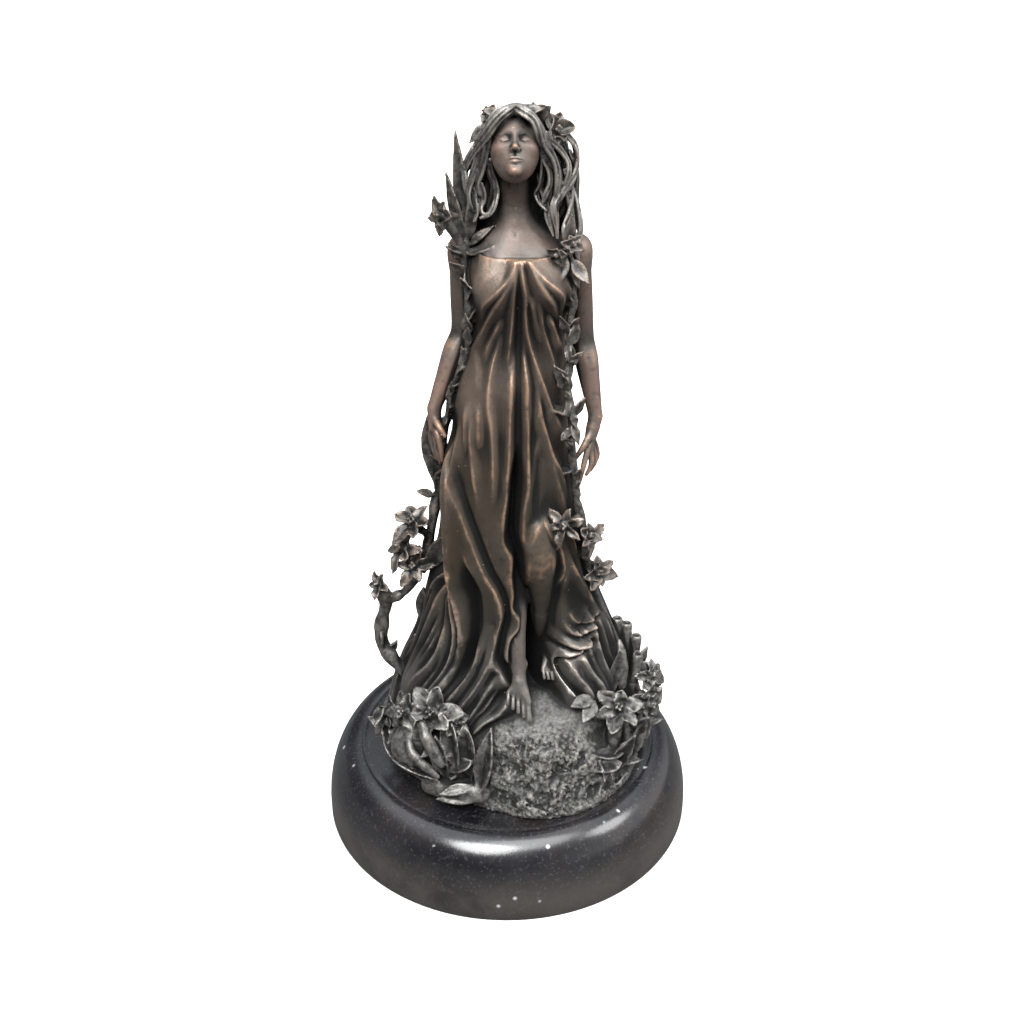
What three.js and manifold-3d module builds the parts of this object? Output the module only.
// A table bronze: a draped woman stepping down a rock among flowering vines, on a round stone plinth.
// Millimetres, +Z up. The figure faces -Y. The origin is the centre of the plinth's underside.
import * as THREE from "three";
import { mergeVertices } from "three/addons/utils/BufferGeometryUtils.js";
import Module from "manifold-3d";

const wasm = await Module();
wasm.setup();

// Driving dimensions

const PLINTH = { radius: 87, height: 37, wall: 5, topRadius: 71, bevel: 0.8, sides: 48, roundSteps: 4 };

const GROUND = PLINTH.height; // the bronze stands on the plinth's top
const ROCK = { x: 2, y: -5, rise: 42, sides: 28 };

// Reach of the rock's foot from its axis, by degrees from the front towards +X.
const ROCK_FOOT = [
  { z: -180, reach: 50 },
  { z: -135, reach: 57 },
  { z: -94, reach: 62 },
  { z: -65, reach: 55 },
  { z: -42, reach: 49.5 },
  { z: -12, reach: 50 },
  { z: 14, reach: 60 },
  { z: 46, reach: 62 },
  { z: 90, reach: 61 },
  { z: 135, reach: 56 },
  { z: 180, reach: 50 },
];

const HEAD = { x: 3, y: -8.5, z: 321.5, tiltBack: 20, sides: 14, levels: 10 };

// The head in its own frame, from under the chin to the crown.
const HEAD_ROWS = [
  { z: -13.6, left: -2.4, right: 2.4, front: -7.8, back: 1 },
  { z: -12, left: -4.2, right: 4.2, front: -9.4, back: 4 },
  { z: -9, left: -6.3, right: 6.3, front: -9.6, back: 6 },
  { z: -5, left: -8.1, right: 8.1, front: -9.8, back: 8 },
  { z: 0, left: -9, right: 9, front: -9.4, back: 10.5 },
  { z: 5, left: -9.2, right: 9.2, front: -10, back: 11.5 },
  { z: 9, left: -8.4, right: 8.4, front: -8.4, back: 10.5 },
  { z: 12, left: -6, right: 6, front: -5.2, back: 7.5 },
  { z: 13.8, left: -2, right: 2, front: -1, back: 3 },
];

// Features of a calm, plain face: place across and up, reach across and along, and rise.
const FEATURES = [
  { x: 0, z: -3, across: 1.3, along: 2.6, rise: 2.8 },
  { x: 0, z: -7.2, across: 2.6, along: 1.4, rise: 0.9 },
  { x: 0, z: -11.4, across: 2.6, along: 1.8, rise: 0.8 },
  { x: -3.9, z: 0.6, across: 1.8, along: 1.7, rise: -1.1 },
  { x: 3.9, z: 0.6, across: 1.8, along: 1.7, rise: -1.1 },
];

const ARM = { upper: 5, elbow: 4.3, forearm: 4.5, wrist: 2.7, sides: 7 };
const FINGER = { length: 17, radius: 1.15, spread: 2.2 };
const VINE = { radius: 1.7, sides: 4 };
const LOCK = { root: 1.8, belly: 2.8, tip: 0.9, sides: 4 };

// The draped body from the hem up to the neckline: its left, right, front and back edge at each height.
const BODY = [
  { z: 46, left: -55, right: 64, front: -44, back: 43 },
  { z: 62, left: -52, right: 61, front: -42, back: 40 },
  { z: 80, left: -47, right: 55, front: -38, back: 34 },
  { z: 100, left: -39, right: 47, front: -33, back: 28 },
  { z: 125, left: -35, right: 38.5, front: -30.5, back: 22 },
  { z: 150, left: -31.5, right: 32, front: -31, back: 18 },
  { z: 172, left: -29, right: 28.5, front: -28.5, back: 16.5 },
  { z: 195, left: -25.5, right: 27, front: -25.5, back: 16.5 },
  { z: 215, left: -21.5, right: 26, front: -23.5, back: 15.5 },
  { z: 230, left: -17.5, right: 25, front: -21.5, back: 11.5 },
  { z: 246, left: -14, right: 24.5, front: -18.5, back: 9 },
  { z: 262, left: -14, right: 24.5, front: -19, back: 10 },
  { z: 275, left: -14.5, right: 24, front: -20, back: 10.5 },
  { z: 282.5, left: -12, right: 20.5, front: -17.5, back: 9 },
  { z: 287.5, left: -6.5, right: 13.5, front: -13, back: 7 },
];
const GOWN = { sides: 42, levels: 19, hem: 46, neckPit: 287.5, frontCrowding: 0.35 };

// Soft swellings of the body under the cloth: place, reach across and along, and rise.
const SWELLINGS = [
  { x: -5.4, z: 273, across: 7.5, along: 8, rise: 4.5 },
  { x: 16, z: 274, across: 7.5, along: 8, rise: 4.5 },
  { x: 14, z: 159, across: 9, along: 16, rise: 7 },
  { x: 12, z: 190, across: 10, along: 22, rise: 2.5 },
  { x: -9, z: 190, across: 10, along: 30, rise: 2.5 },
  { x: 3, z: 226, across: 11, along: 12, rise: 1.5 },
];

// Raised folds on the front of the gown: pairs of height and x from top to bottom.
const FRONT_FOLDS = [
  { line: [[281, 3.2], [240, 1.4], [205, 1.4], [165, -0.5], [135, 2.5], [100, 3]], rise: 2.2, width: 2.6 },
  { line: [[281, 6], [245, 6.8], [210, 6.6], [170, 5], [140, 3.5]], rise: 2.2, width: 2.6 },
  { line: [[276, 5.4], [255, 8.5], [238, 11], [215, 17], [196, 23]], rise: 2, width: 2.6 },
  { line: [[281, 8], [265, 14], [252, 20]], rise: 1.8, width: 2.4 },
  { line: [[268, 9], [247, 15], [230, 19], [218, 23]], rise: 1.6, width: 2.4 },
  { line: [[281, 0.5], [262, -7], [247, -12]], rise: 1.8, width: 2.4 },
  { line: [[262, -1], [240, -4], [205, -5.5], [180, -6]], rise: 1.5, width: 2.6 },
  { line: [[222, 10.5], [195, 15], [180, 19], [160, 25], [130, 31]], rise: 2, width: 2.8 },
  { line: [[198, -21], [170, -16], [150, -11], [132, -4.5], [112, -3], [88, 0]], rise: 3.4, width: 3.6 },
  { line: [[172, -23.5], [125, -22], [105, -24], [85, -33]], rise: 4, width: 4 },
  { line: [[150, 21], [120, 27], [95, 33], [75, 37]], rise: 3.6, width: 4 },
];

// Hollows: the open slit over the rear foot, and the deep valley beside the front fold.
const HOLLOWS = [
  { line: [[140, 8], [115, 11], [90, 14], [46, 17]], depth: 12, width: 8, top: 140, bottom: 40 },
  { line: [[205, -26], [160, -29], [120, -31]], depth: 6, width: 4, top: 210, bottom: 112 },
];

// Even folds round the sides and the back, growing towards the hem.
const SIDE_FOLDS = { count: 17, rise: 4.2, twist: 0.9 };

// The hair as one mass behind the face, wider over the shoulders, and its locks.
const HAIR = [
  { z: 262, left: -6, right: 13, front: 8, back: 15 },
  { z: 276, left: -13, right: 21, front: 1, back: 15 },
  { z: 289, left: -16.5, right: 25.5, front: -5, back: 14.5 },
  { z: 301, left: -17.5, right: 26.5, front: -9, back: 13.5 },
  { z: 313, left: -14, right: 26, front: -9.5, back: 12 },
  { z: 323, left: -10, right: 21.5, front: -10, back: 10.5 },
  { z: 330, left: -7.5, right: 17, front: -13, back: 7.5 },
  { z: 335, left: -3, right: 11, front: -11.5, back: 3 },
];
const LOCKS = { count: 9, rise: 1.1, twist: 0.05, sides: 22, levels: 7 };

// Small maths

const vec = (x, y, z) => new THREE.Vector3(x, y, z);
const smooth = THREE.MathUtils.smoothstep;
const lerp = THREE.MathUtils.lerp;
const spot = (value, centre, reach) => Math.exp(-(((value - centre) / reach) ** 2));

/** A value read from rows that rise in z, eased between neighbours. */
function along(rows, z, key) {
  const last = rows.length - 1;
  if (z <= rows[0].z) return rows[0][key];
  if (z >= rows[last].z) return rows[last][key];
  const i = rows.findIndex((row) => row.z > z) - 1;
  const before = rows[Math.max(i - 1, 0)][key];
  const after = rows[Math.min(i + 2, last)][key];
  const t = (z - rows[i].z) / (rows[i + 1].z - rows[i].z);
  const [a, b] = [rows[i][key], rows[i + 1][key]];
  const [slopeA, slopeB] = [(b - before) / 2, (after - a) / 2];
  const [t2, t3] = [t * t, t * t * t];
  return (2 * t3 - 3 * t2 + 1) * a + (t3 - 2 * t2 + t) * slopeA + (3 * t2 - 2 * t3) * b + (t3 - t2) * slopeB;
}

/** The x of a fold at height z, and null above or below it. */
function lineAt(line, z) {
  for (let i = 0; i + 1 < line.length; i++) {
    const [[zHigh, xHigh], [zLow, xLow]] = [line[i], line[i + 1]];
    if (z <= zHigh && z >= zLow) return lerp(xLow, xHigh, (z - zLow) / (zHigh - zLow));
  }
  return null;
}

// Solids from rings

const middleOf = (ring) => ring.reduce((sum, p) => sum.add(p), vec(0, 0, 0)).divideScalar(ring.length);

/** A closed skin over rings of equal length, each a right-handed turn, with a fan to a point at each end. */
function loft(rings, foot = middleOf(rings[0]), crown = middleOf(rings.at(-1))) {
  const sides = rings[0].length;
  const points = [...rings.flat(), foot, crown];
  const [first, last] = [points.length - 2, points.length - 1];
  const index = [];
  const top = (rings.length - 1) * sides;
  for (let j = 0; j < sides; j++) {
    const next = (j + 1) % sides;
    for (let i = 0; i < top; i += sides) {
      index.push(i + j, i + next, i + sides + next, i + j, i + sides + next, i + sides + j);
    }
    index.push(first, next, j, last, top + j, top + next);
  }
  return new THREE.BufferGeometry().setFromPoints(points).setIndex(index);
}

/** A round limb, stem or lock through the given points, with its radii spread evenly along it. */
function limb(points, radii, sides = 6, steps = 8) {
  const curve = new THREE.CatmullRomCurve3(points);
  const { normals, binormals } = curve.computeFrenetFrames(steps);
  const rings = [];
  for (let i = 0; i <= steps; i++) {
    const t = i / steps;
    const place = t * (radii.length - 1);
    const low = Math.min(Math.floor(place), radii.length - 2);
    const radius = lerp(radii[low], radii[low + 1], place - low);
    const centre = curve.getPoint(t);
    rings.push(
      Array.from({ length: sides }, (_, j) => {
        const turn = (j / sides) * 2 * Math.PI;
        return centre
          .clone()
          .addScaledVector(normals[i], Math.cos(turn) * radius)
          .addScaledVector(binormals[i], Math.sin(turn) * radius);
      }),
    );
  }
  return loft(rings);
}

/** A leaf or petal: a keel below and two edges above, bent over its length. */
function blade({ foot, aim, face, length, width, keel = 1.1, bend = 0, cup = 0.15, spans = 2 }) {
  const forward = aim.clone().normalize();
  const upper = face.clone().addScaledVector(forward, -face.dot(forward)).normalize();
  const side = forward.clone().cross(upper);
  const rings = [];
  for (let i = 0; i <= spans; i++) {
    const t = i / spans;
    const half = (width / 2) * Math.max(Math.sin(Math.PI * (0.08 + 0.86 * t ** 0.85)), 0.12);
    const mid = foot
      .clone()
      .addScaledVector(forward, length * t)
      .addScaledVector(upper, bend * length * t * t);
    const edge = (sign) => mid.clone().addScaledVector(side, sign * half).addScaledVector(upper, cup * half * 2);
    rings.push([mid.clone().addScaledVector(upper, -keel * (1 - 0.6 * t)), edge(-1), edge(1)]);
  }
  return loft(rings);
}

/** A smooth egg of the given half sizes, turned about X. */
function egg(centre, halfSizes, tiltX = 0, sides = 12, levels = 8) {
  const geometry = new THREE.SphereGeometry(1, sides, levels);
  geometry.scale(halfSizes.x, halfSizes.y, halfSizes.z);
  geometry.rotateX(tiltX);
  return geometry.translate(centre.x, centre.y, centre.z);
}

/** An open blossom: a shallow cup with a petalled rim round a small heart, facing along aim. */
function blossom({ centre, aim, radius, petals = 5 }) {
  const facing = aim.clone().normalize();
  const across = vec(0, 0, 1).cross(facing).normalize();
  const up = facing.clone().cross(across);
  const place = (turn, out, rise) =>
    centre
      .clone()
      .addScaledVector(across, radius * out * Math.cos(turn))
      .addScaledVector(up, radius * out * Math.sin(turn))
      .addScaledVector(facing, radius * rise);
  const rim = [];
  const throat = [];
  for (let i = 0; i < 3 * petals; i++) {
    const turn = ((i + (i % 3 === 1 ? -0.12 : 0) + (i % 3 === 2 ? 0.12 : 0)) / (3 * petals)) * 2 * Math.PI;
    const tip = i % 3 !== 0;
    rim.push(place(turn, tip ? 1 : 0.6, tip ? 0.42 : 0.16));
    throat.push(place(turn, tip ? 0.34 : 0.26, 0.02));
  }
  return loft([rim, throat], place(0, 0, -0.42), place(0, 0, 0.3));
}

/** One solid from closed pieces that run into each other. */
function fuse(geometries) {
  const solids = geometries.map((geometry) => {
    const bare = new THREE.BufferGeometry();
    bare.setAttribute("position", geometry.getAttribute("position"));
    bare.setIndex(geometry.getIndex());
    const merged = mergeVertices(bare, 1e-4);
    const vertProperties = merged.attributes.position.array;
    const triVerts = new Uint32Array(merged.index.array);
    return new wasm.Manifold(new wasm.Mesh({ numProp: 3, vertProperties, triVerts }));
  });
  const whole = solids.reduce((sum, piece) => sum.add(piece)).getMesh();
  const geometry = new THREE.BufferGeometry();
  geometry.setAttribute("position", new THREE.BufferAttribute(whole.vertProperties, 3));
  geometry.setIndex(new THREE.BufferAttribute(whole.triVerts, 1));
  geometry.computeVertexNormals();
  return geometry;
}

// The gown

/** An oval ring through four edges at height z: its axis and its reach at a turn from the front towards +X. */
function oval(rows, turn, z) {
  const [left, right] = [along(rows, z, "left"), along(rows, z, "right")];
  const [front, back] = [along(rows, z, "front"), along(rows, z, "back")];
  const [across, deep] = [Math.sin(turn) / ((right - left) / 2), Math.cos(turn) / ((back - front) / 2)];
  return { x: (left + right) / 2, y: (front + back) / 2, reach: 1 / Math.hypot(across, deep) };
}

/** Distance from the body's axis to the cloth, at a turn from the front towards +X. */
function gownReach(turn, z) {
  const { x: axisX, y: axisY, reach: plain } = oval(BODY, turn, z);
  const x = axisX + plain * Math.sin(turn);
  const facing = smooth(Math.cos(turn), -0.15, 0.25);
  let reach = plain;
  for (const s of SWELLINGS) reach += facing * s.rise * spot(x, s.x, s.across) * spot(z, s.z, s.along);
  for (const fold of FRONT_FOLDS) {
    const foldX = lineAt(fold.line, z);
    if (foldX !== null) reach += facing * fold.rise * spot(x, foldX, fold.width);
  }
  for (const hollow of HOLLOWS) {
    const hollowX = lineAt(hollow.line, z);
    const ease = smooth(hollow.top - z, 0, 14) * smooth(z - hollow.bottom, 0, 10);
    if (hollowX !== null) reach -= facing * ease * hollow.depth * spot(x, hollowX, hollow.width);
  }
  const fullness = (1 - facing * 0.75) * smooth(260 - z, 0, 190);
  const sway = SIDE_FOLDS.twist * Math.sin(z / 37);
  reach += SIDE_FOLDS.rise * fullness * Math.cos(SIDE_FOLDS.count * turn + sway);
  return { reach, axisX, axisY };
}

function gown() {
  const rings = [];
  for (let i = 0; i <= GOWN.levels; i++) {
    const z = lerp(GOWN.hem, GOWN.neckPit, i / GOWN.levels);
    rings.push(
      Array.from({ length: GOWN.sides }, (_, j) => {
        const even = (j / GOWN.sides) * 2 * Math.PI;
        const turn = even - GOWN.frontCrowding * Math.sin(even);
        const { reach, axisX, axisY } = gownReach(turn, z);
        return vec(axisX + reach * Math.sin(turn), axisY - reach * Math.cos(turn), z);
      }),
    );
  }
  return loft(rings);
}

// The woman

const NECK_PIT = vec(3, -9, 287);
const SHOULDERS = { left: vec(-17, 0, 280.5), right: vec(28, 0, 280.5) };
const ELBOWS = { left: vec(-18.2, 4, 244), right: vec(31.6, 4, 241) };
const WRISTS = { left: vec(-30.2, -6, 213), right: vec(37.4, -6, 209) };

function bust() {
  const neck = limb(
    [vec(4, -2, 278), vec(3.4, -3.5, 290), vec(3, -3, 302), vec(3, -3.5, 313)],
    [9, 6.4, 5.9, 6.2],
    8,
    5,
  );
  const slopes = ["left", "right"].map((hand) =>
    limb([vec(3.5, -1, 285), SHOULDERS[hand].clone().lerp(NECK_PIT, 0.45), SHOULDERS[hand]], [5.5, 5.2, 5], 6, 3),
  );
  return [neck, ...slopes];
}

/** A point on the head: across, forward and up from its centre, with the face turned upwards. */
function onHead(across, forward, up) {
  const tilt = THREE.MathUtils.degToRad(HEAD.tiltBack);
  return vec(
    HEAD.x + across,
    HEAD.y - forward * Math.cos(tilt) + up * Math.sin(tilt),
    HEAD.z + forward * Math.sin(tilt) + up * Math.cos(tilt),
  );
}

function head() {
  const rings = [];
  for (let i = 0; i <= HEAD.levels; i++) {
    const up = lerp(HEAD_ROWS[0].z, HEAD_ROWS.at(-1).z, i / HEAD.levels);
    rings.push(
      Array.from({ length: HEAD.sides }, (_, j) => {
        const even = (j / HEAD.sides) * 2 * Math.PI;
        const turn = even - GOWN.frontCrowding * Math.sin(even);
        const { y, reach } = oval(HEAD_ROWS, turn, up);
        const facing = smooth(Math.cos(turn), 0, 0.4);
        let out = reach;
        for (const f of FEATURES) {
          out += facing * f.rise * spot(reach * Math.sin(turn), f.x, f.across) * spot(up, f.z, f.along);
        }
        return onHead(out * Math.sin(turn), out * Math.cos(turn) - y, up);
      }),
    );
  }
  return [loft(rings)];
}

/** Hair gathered behind the face in waved locks, with two loose locks on each side of the neck. */
function hair() {
  const rings = [];
  for (let i = 0; i <= LOCKS.levels; i++) {
    const z = lerp(HAIR[0].z, HAIR.at(-1).z, i / LOCKS.levels);
    rings.push(
      Array.from({ length: LOCKS.sides }, (_, j) => {
        const turn = (j / LOCKS.sides) * 2 * Math.PI;
        const { x, y, reach } = oval(HAIR, turn, z);
        const out = reach + LOCKS.rise * Math.cos(LOCKS.count * turn + LOCKS.twist * z * Math.sign(turn - Math.PI));
        return vec(x + out * Math.sin(turn), y - out * Math.cos(turn), z);
      }),
    );
  }
  const mass = loft(rings, middleOf(rings[0]), vec(HEAD.x + 1, -5, 337.5));
  const radii = [LOCK.root, LOCK.belly, LOCK.belly, LOCK.tip];
  const loose = [
    [vec(-6, -7, 324), vec(-10.5, -8, 309), vec(-10, -10, 296), vec(-7, -12, 285)],
    [vec(-9, -3, 319), vec(-15, -4, 305), vec(-14.5, -6, 294), vec(-12, -8, 283)],
    [vec(13, -7, 324), vec(18.5, -8, 309), vec(18, -10, 294), vec(15, -13, 283)],
    [vec(17, -3, 319), vec(23.5, -4, 305), vec(22.5, -6, 292), vec(20, -9, 281)],
  ];
  return [mass, ...loose.map((points) => limb(points, radii, LOCK.sides, 5))];
}

function arms() {
  return ["left", "right"].map((hand) => {
    const [shoulder, elbow, wrist] = [SHOULDERS[hand], ELBOWS[hand], WRISTS[hand]];
    const belly = elbow.clone().lerp(wrist, 0.28);
    return limb(
      [shoulder, shoulder.clone().lerp(elbow, 0.5), elbow, belly, wrist],
      [ARM.upper, ARM.upper, ARM.elbow, ARM.forearm, ARM.wrist],
      ARM.sides,
      8,
    );
  });
}

/** A hand: a flat palm, four fingers side by side and a thumb. */
function hand({ wrist, palm, reach, across, thumb, curl }) {
  const pieces = [
    limb([wrist, wrist.clone().lerp(palm, 0.5), palm], [ARM.wrist, ARM.wrist * 1.15, ARM.wrist * 0.8], 6, 2),
    limb([wrist.clone().lerp(palm, 0.45), thumb.clone().lerp(palm, 0.4), thumb], [1.6, 1.5, 0.9], 4, 2),
  ];
  for (let i = 0; i < 4; i++) {
    const knuckle = palm.clone().addScaledVector(across, (i - 1.5) * FINGER.spread * 0.55);
    const aim = reach.clone().addScaledVector(across, (i - 1.5) * 0.12).addScaledVector(curl, i * 0.16);
    const tip = knuckle.clone().addScaledVector(aim.normalize(), FINGER.length * (1 - 0.09 * i));
    const middle = knuckle.clone().lerp(tip, 0.5).addScaledVector(curl, -1.2);
    pieces.push(limb([knuckle, middle, tip], [FINGER.radius * 1.2, FINGER.radius, FINGER.radius * 0.7], 4, 2));
  }
  return pieces;
}

function hands() {
  const left = hand({
    wrist: WRISTS.left,
    palm: vec(-30, -9, 203.5),
    reach: vec(0.2, -0.1, -1),
    across: vec(-0.3, 0.95, 0),
    thumb: vec(-25.6, -14, 203.5),
    curl: vec(0.5, 0.3, 0),
  });
  const right = hand({
    wrist: WRISTS.right,
    palm: vec(35, -9.5, 198.5),
    reach: vec(-0.25, -0.25, -1),
    across: vec(0.55, 0.8, 0.1),
    thumb: vec(28.6, -14, 193),
    curl: vec(0.3, 0.6, 0.3),
  });
  return [...left, ...right];
}

/** A bare lower leg, heel and foot with its toes. */
function foot({ knee, ankle, toes, width }) {
  const heel = ankle.clone().add(vec(0, 5, -6));
  const forward = toes.clone().sub(ankle).normalize();
  const side = vec(0, 0, 1).cross(forward).normalize();
  const pieces = [
    limb([knee, knee.clone().lerp(ankle, 0.55), ankle], [5.5, 4.4, 3.2], 6, 3),
    limb([heel, ankle.clone().lerp(toes, 0.45), toes], [2.8, 3.4, 2.4], 6, 3),
  ];
  for (let i = 0; i < 5; i++) {
    const root = toes.clone().addScaledVector(side, (i - 2) * width * 0.2).addScaledVector(forward, -2.5);
    const tip = root.clone().addScaledVector(forward, 6.2 - 0.5 * i).add(vec(0, 0, -0.8));
    pieces.push(limb([root, tip], [1.3, i === 0 ? 1.2 : 0.8], 4, 1));
  }
  return pieces;
}

function feet() {
  return [
    ...foot({ knee: vec(3, -26, 128), ankle: vec(5.8, -33, 90), toes: vec(7.2, -43, 78), width: 8 }),
    ...foot({ knee: vec(14.5, -24, 130), ankle: vec(17.4, -14, 97), toes: vec(22.5, -23, 88), width: 7.5 }),
  ];
}

// The rock and the hem that spreads over it

/** A low crag with a steep front, highest towards the back. */
function rock() {
  const profile = [
    [1, 0],
    [0.98, 0.36],
    [0.9, 0.7],
    [0.76, 0.9],
    [0.4, 1],
  ];
  return loft(
    profile.map(([share, rise], level) =>
      Array.from({ length: ROCK.sides }, (_, j) => {
        const turn = (j / ROCK.sides) * 2 * Math.PI;
        const degrees = THREE.MathUtils.radToDeg(turn > Math.PI ? turn - 2 * Math.PI : turn);
        const crag = level > 0 && level < 4 ? 1.5 * Math.sin(7 * turn + 2 * level) : 0;
        const reach = share * along(ROCK_FOOT, degrees, "reach") + crag;
        const fall = 1 - 0.1 * Math.max(Math.cos(turn), 0) * rise;
        const z = GROUND + ROCK.rise * rise * fall;
        return vec(ROCK.x + reach * Math.sin(turn), ROCK.y - reach * Math.cos(turn), z);
      }),
    ),
  );
}

/** Loose turns of cloth at the open side of the skirt. */
function hemTurns() {
  return [
    limb([vec(21, -25, 136), vec(23, -32, 112), vec(30, -36, 98), vec(41, -29, 97)], [2, 2.6, 3, 1.6], 5, 6),
    limb([vec(40, -29, 94), vec(30, -34, 90), vec(27, -36, 79), vec(31, -38, 66)], [1.6, 2.8, 3, 2], 5, 6),
    limb([vec(-3, -29, 124), vec(-4, -35, 102), vec(-3, -39, 88), vec(1, -42, 74)], [2.2, 3, 2.6, 1.4], 5, 5),
    limb([vec(-9, -32, 98), vec(-13, -39, 82), vec(-17, -43, 68), vec(-22, -44, 54)], [3, 4, 4, 3], 5, 5),
    limb([vec(-19, -28, 102), vec(-26, -35, 84), vec(-33, -38, 68), vec(-38, -38, 54)], [3, 4, 4, 3], 5, 5),
  ];
}

// The flora

const SIDE_VINES = [
  [vec(-15.5, -5.5, 290), vec(-15.5, -8, 280), vec(-16, -9, 262), vec(-17, -8, 240), vec(-24, -4, 212), vec(-29, 3, 185), vec(-32, 3, 160)],
  [vec(23, -13, 284), vec(26, -10, 262), vec(25, -14, 238), vec(25, -16, 218), vec(27, -17, 195), vec(30, -17, 172)],
];
const LOW_STEMS = [
  { points: [vec(-32, 3, 162), vec(-36, -3, 146), vec(-39, -5, 132), vec(-46, -4, 121), vec(-53, -3, 116)], radius: 2.1 },
  { points: [vec(-56.5, -4, 125), vec(-53.5, -3, 112), vec(-57, -3, 99), vec(-56, -5, 86), vec(-44, -9, 72)], radius: 2.6 },
  { points: [vec(30, -18, 174), vec(34, -16, 155), vec(36, -14, 140), vec(43, -10, 115), vec(52, -8, 95)], radius: 1.9 },
  { points: [vec(52, -10, 74), vec(54, -6, 88), vec(55.5, -4, 102)], radius: 2.8 },
  { points: [vec(55, -11, 70), vec(58.5, -8, 84), vec(60, -6, 93)], radius: 2.8 },
  { points: [vec(50, -8, 76), vec(51, -5, 90), vec(50.5, -3, 104)], radius: 2.6 },
];

const BLOSSOMS = [
  { centre: vec(-41, -8, 159), aim: vec(-0.35, -0.75, 0.55), radius: 9.5 },
  { centre: vec(-46, -7, 145), aim: vec(-0.65, -0.7, 0.2), radius: 8 },
  { centre: vec(-40, -12, 137), aim: vec(-0.2, -0.95, 0.1), radius: 7.5 },
  { centre: vec(-56.5, -4, 125), aim: vec(-0.75, -0.4, 0.5), radius: 6 },
  { centre: vec(-24.5, -14, 299), aim: vec(-0.75, -0.65, 0.1), radius: 7.5 },
  { centre: vec(22.5, -15, 284), aim: vec(0.2, -0.9, 0.2), radius: 5 },
  { centre: vec(24, -30, 170), aim: vec(-0.15, -0.95, 0.3), radius: 8 },
  { centre: vec(34.5, -18, 157), aim: vec(0.8, -0.5, 0.3), radius: 6.5 },
  { centre: vec(39.5, -12, 136), aim: vec(0.7, -0.7, 0.2), radius: 8 },
  { centre: vec(-4, -8.5, 333), aim: vec(-0.5, -0.6, 0.6), radius: 5 },
  { centre: vec(9.5, -9, 334), aim: vec(0.3, -0.6, 0.7), radius: 4.5 },
  { centre: vec(15.6, -6, 328), aim: vec(0.75, -0.55, 0.35), radius: 6.5 },
  { centre: vec(66, -12, 76), aim: vec(0.8, -0.5, 0.35), radius: 8.5, petals: 6 },
  { centre: vec(53, -31, 73), aim: vec(-0.05, -0.9, 0.45), radius: 8.5 },
  { centre: vec(-37, -40, 74), aim: vec(-0.15, -0.85, 0.5), radius: 9.5, petals: 6 },
  { centre: vec(-50.5, -26, 66), aim: vec(-0.75, -0.6, 0.25), radius: 8.5 },
];

const LEAVES = [
  { foot: vec(-15.5, -5, 288), aim: vec(-0.1, 0.05, 1), face: vec(-0.3, -1, 0), length: 38, width: 9, spans: 3 },
  { foot: vec(-16, -5, 286), aim: vec(-0.2, 0.1, 1), face: vec(-0.6, -1, 0), length: 25, width: 6 },
  { foot: vec(-16, -8, 281), aim: vec(0.9, -0.3, 0.3), face: vec(0, -0.5, 1), length: 12, width: 5 },
  { foot: vec(-17, -6, 283), aim: vec(-0.5, -0.5, 0.9), face: vec(-0.6, -0.8, -0.2), length: 19, width: 5 },
  { foot: vec(-31, 3, 172), aim: vec(-0.06, -0.05, 1), face: vec(-0.5, -1, 0), length: 34, width: 8, spans: 3 },
  { foot: vec(-32, 1, 170), aim: vec(0.75, -0.4, 0.5), face: vec(0, -1, 0.5), length: 15, width: 4.5 },
  { foot: vec(-40, -5, 129), aim: vec(0.35, -0.3, 1), face: vec(-0.2, -1, 0), length: 27, width: 8 },
  { foot: vec(-37, -2, 100), aim: vec(0.1, -0.05, 1), face: vec(-0.6, -0.8, 0), length: 20, width: 8 },
  { foot: vec(25, -15, 216), aim: vec(-0.9, -0.5, 0.35), face: vec(0, -0.5, 1), length: 11, width: 5 },
  { foot: vec(24, -13, 280), aim: vec(0.5, -0.3, -1), face: vec(0.3, -1, 0), length: 14, width: 6 },
  { foot: vec(25.5, -12, 250), aim: vec(0.4, -0.4, -0.8), face: vec(0.5, -1, 0), length: 10, width: 4.5 },
  { foot: vec(-30, -45, 64), aim: vec(0.75, -0.15, -0.75), face: vec(-0.1, -0.9, 0.4), length: 30, width: 10 },
  { foot: vec(-20, -48, 50), aim: vec(0.55, -0.1, 0.9), face: vec(0.2, -1, 0.2), length: 26, width: 8 },
  { foot: vec(-52, -25, 62), aim: vec(0.5, -0.5, -0.62), face: vec(-0.5, -0.7, 0.3), length: 30, width: 15 },
  { foot: vec(-28, -46, 46), aim: vec(0.8, -0.25, -0.2), face: vec(0, -0.3, 1), length: 14, width: 6 },
  { foot: vec(50, -26, 52), aim: vec(0.35, -0.3, 0.9), face: vec(0.2, -1, 0.3), length: 26, width: 10 },
  { foot: vec(47, -14, 80), aim: vec(0.25, 0.1, 1), face: vec(0.3, -1, 0), length: 26, width: 7 },
];

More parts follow.
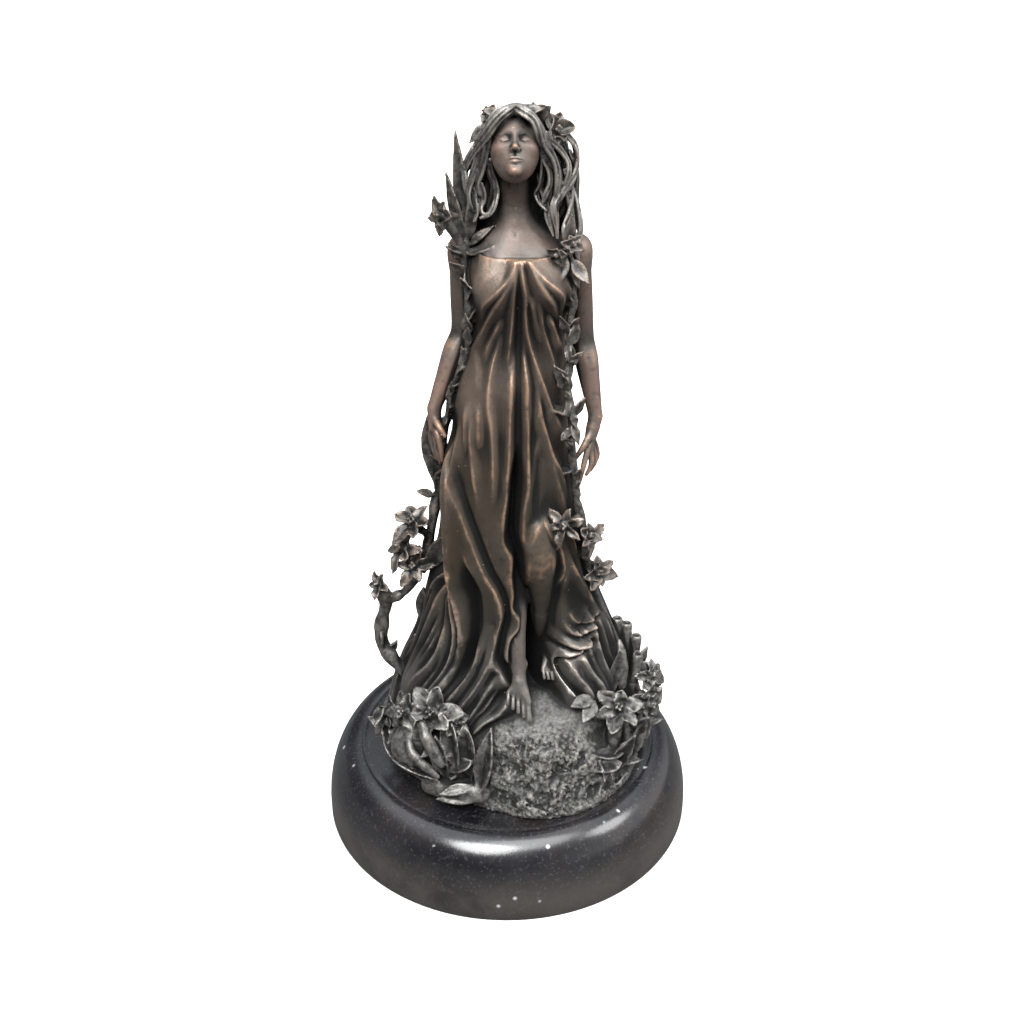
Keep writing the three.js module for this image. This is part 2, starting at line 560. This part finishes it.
const SIDE_STEMS = [
  [vec(-16, -7, 284), vec(-20, -11, 291), vec(-24, -13, 298)],
  [vec(30, -18, 168), vec(28, -25, 169), vec(24, -29, 170)],
  [vec(34, -16, 150), vec(35, -17, 154), vec(34.5, -18, 157)],
  [vec(37, -14, 134), vec(38, -13, 134), vec(39.5, -12, 136)],
  [vec(-36, -3, 150), vec(-39, -6, 155), vec(-41, -8, 159)],
  [vec(-37, -4, 140), vec(-43, -6, 143), vec(-46, -7, 145)],
  [vec(56, -12, 66), vec(61, -12, 71), vec(66, -12, 76)],
  [vec(46, -24, 60), vec(50, -29, 68), vec(53, -31, 73)],
  [vec(-30, -36, 60), vec(-34, -39, 68), vec(-37, -40, 74)],
  [vec(-43, -22, 56), vec(-47, -24, 62), vec(-50.5, -26, 66)],
];

function flora() {
  const vines = SIDE_VINES.map((points) => limb(points, [VINE.radius, VINE.radius], VINE.sides, 10));
  const low = LOW_STEMS.map(({ points, radius }) => limb(points, [radius, radius * 0.9], VINE.sides, 5));
  const side = SIDE_STEMS.map((points) => limb(points, [VINE.radius, VINE.radius * 0.8], 3, 1));
  return [...vines, ...low, ...side, ...LEAVES.map(blade), ...BLOSSOMS.map(blossom)];
}

// The two pieces

function bronze() {
  const woman = [...bust(), ...head(), ...hair(), ...arms(), ...hands(), ...feet()];
  const geometry = fuse([gown(), rock(), ...woman, ...hemTurns(), ...flora()]);
  const material = new THREE.MeshStandardMaterial({ color: 0x3a2d26, roughness: 0.42, metalness: 0.9 });
  const mesh = new THREE.Mesh(geometry, material);
  mesh.name = "bronze_figure";
  return mesh;
}

/** A round plinth turned from one block: a short wall, a full rounded shoulder and a flat top. */
function plinth() {
  const { radius, height, wall, topRadius, bevel, sides, roundSteps } = PLINTH;
  const outline = [new THREE.Vector2(0, 0), new THREE.Vector2(radius - bevel, 0), new THREE.Vector2(radius, bevel)];
  for (let i = 0; i <= roundSteps; i++) {
    const turn = ((i / roundSteps) * Math.PI) / 2;
    const out = topRadius + (radius - topRadius) * Math.cos(turn);
    outline.push(new THREE.Vector2(out, wall + (height - wall) * Math.sin(turn)));
  }
  outline.push(new THREE.Vector2(0, height));
  const turned = new THREE.LatheGeometry(outline, sides).rotateX(Math.PI / 2);
  const material = new THREE.MeshStandardMaterial({ color: 0x1b1a1c, roughness: 0.25, metalness: 0 });
  const mesh = new THREE.Mesh(fuse([turned]), material);
  mesh.name = "stone_plinth";
  return mesh;
}

const statue = new THREE.Group();
statue.add(plinth(), bronze());

export default statue;
